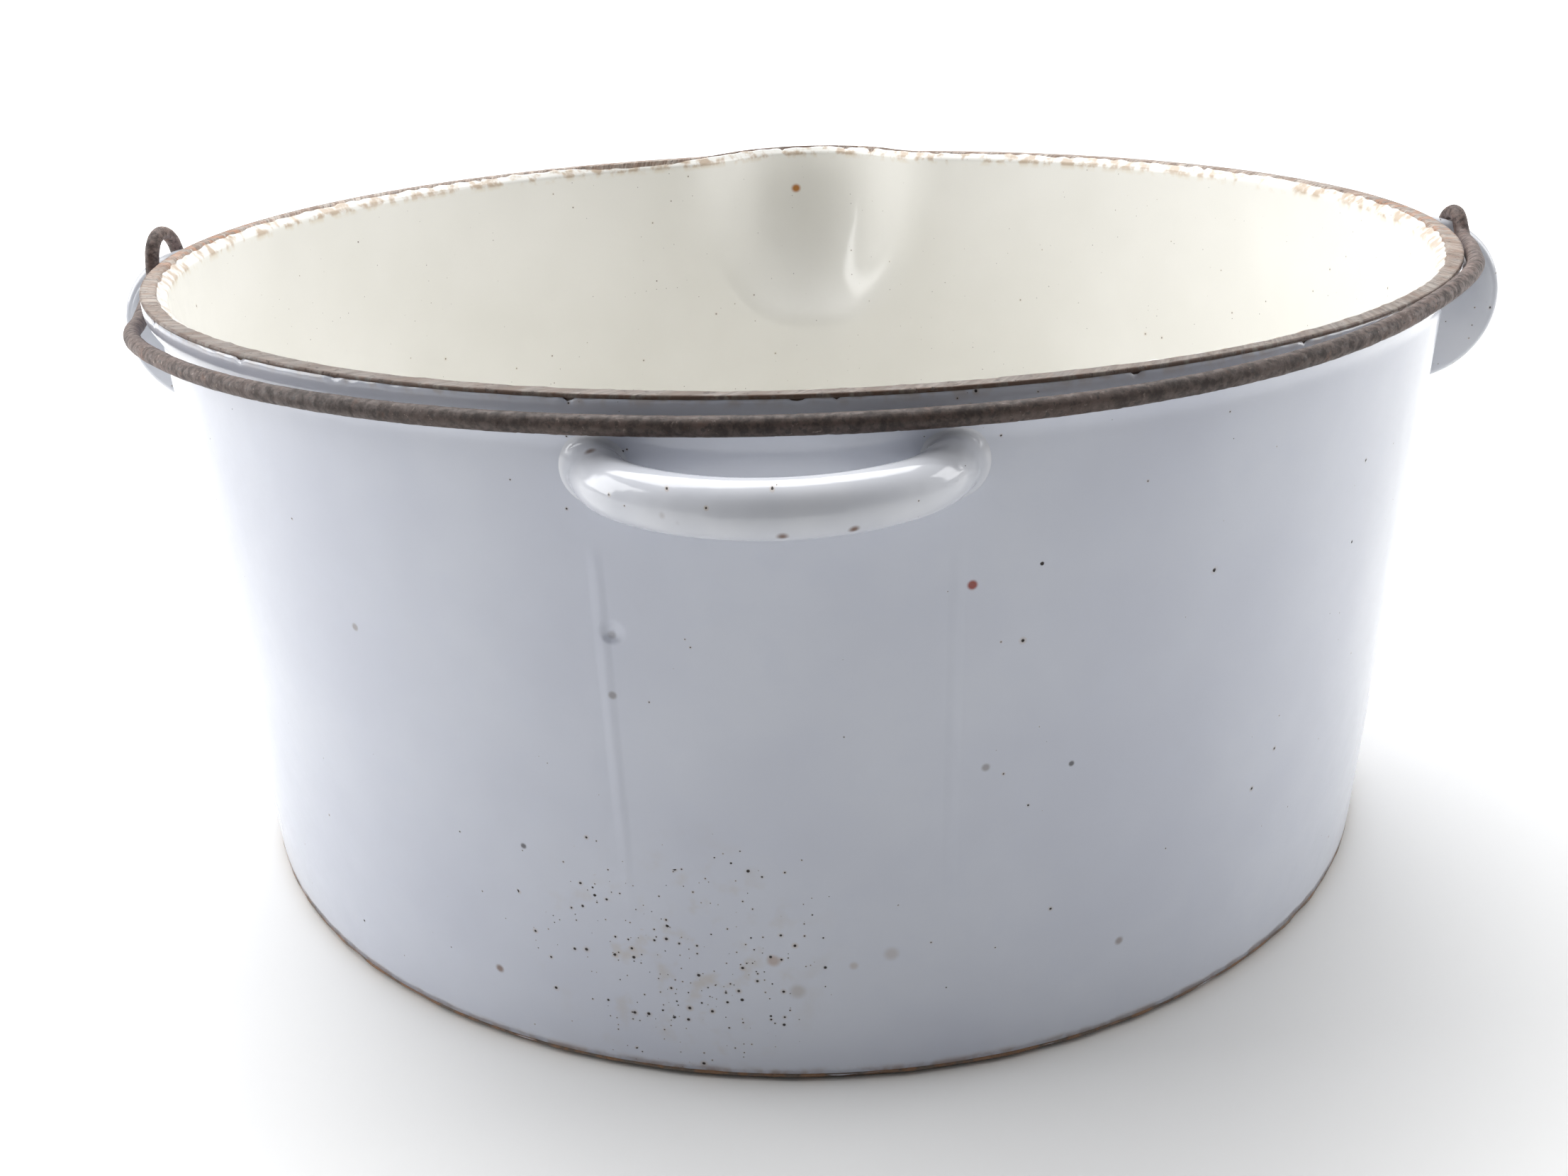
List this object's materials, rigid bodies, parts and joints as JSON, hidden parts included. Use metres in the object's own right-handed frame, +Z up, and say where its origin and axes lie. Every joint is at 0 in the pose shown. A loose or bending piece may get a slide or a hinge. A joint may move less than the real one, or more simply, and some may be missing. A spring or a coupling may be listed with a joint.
{
  "type": "stock pot",
  "caption": "Round enamelled cast iron stock pot with a pouring lip, a front grip, side ears and a folding wire bail",
  "frame": {"origin": "on the floor at the centre of the flat base, on the pot's axis", "axes": "+Z up along the pot's axis, -Y toward the front grip, +Y toward the pouring lip, +X and -X toward the ears that carry the bail"},
  "size_m": [0.4562, 0.4494, 0.1905],
  "materials": {
    "bare_iron": "ground bare iron edge with rust",
    "outer_glaze": "glossy pale blue-grey enamel with fine orange peel",
    "inner_glaze": "glossy cream-white enamel",
    "handle_glaze": "glossy pale grey-white enamel",
    "rusty_wire": "matt rusted steel wire"
  },
  "bodies": {
    "pot": {"pot_casting": "bare_iron", "outer_enamel": "outer_glaze", "inner_enamel": "inner_glaze", "front_grip": "bare_iron", "grip_enamel": "handle_glaze", "left_ear": "bare_iron", "left_ear_enamel": "handle_glaze", "right_ear": "bare_iron", "right_ear_enamel": "handle_glaze"},
    "bail": {"bail": "rusty_wire"}
  },
  "joints": [
    {"name": "bail_swing", "type": "hinge", "parent": "pot", "child": "bail", "pos_m": [0, 0, 0.17729], "axis": [-1, 0, 0.0038], "range_deg": [0, 176]}
  ]
}
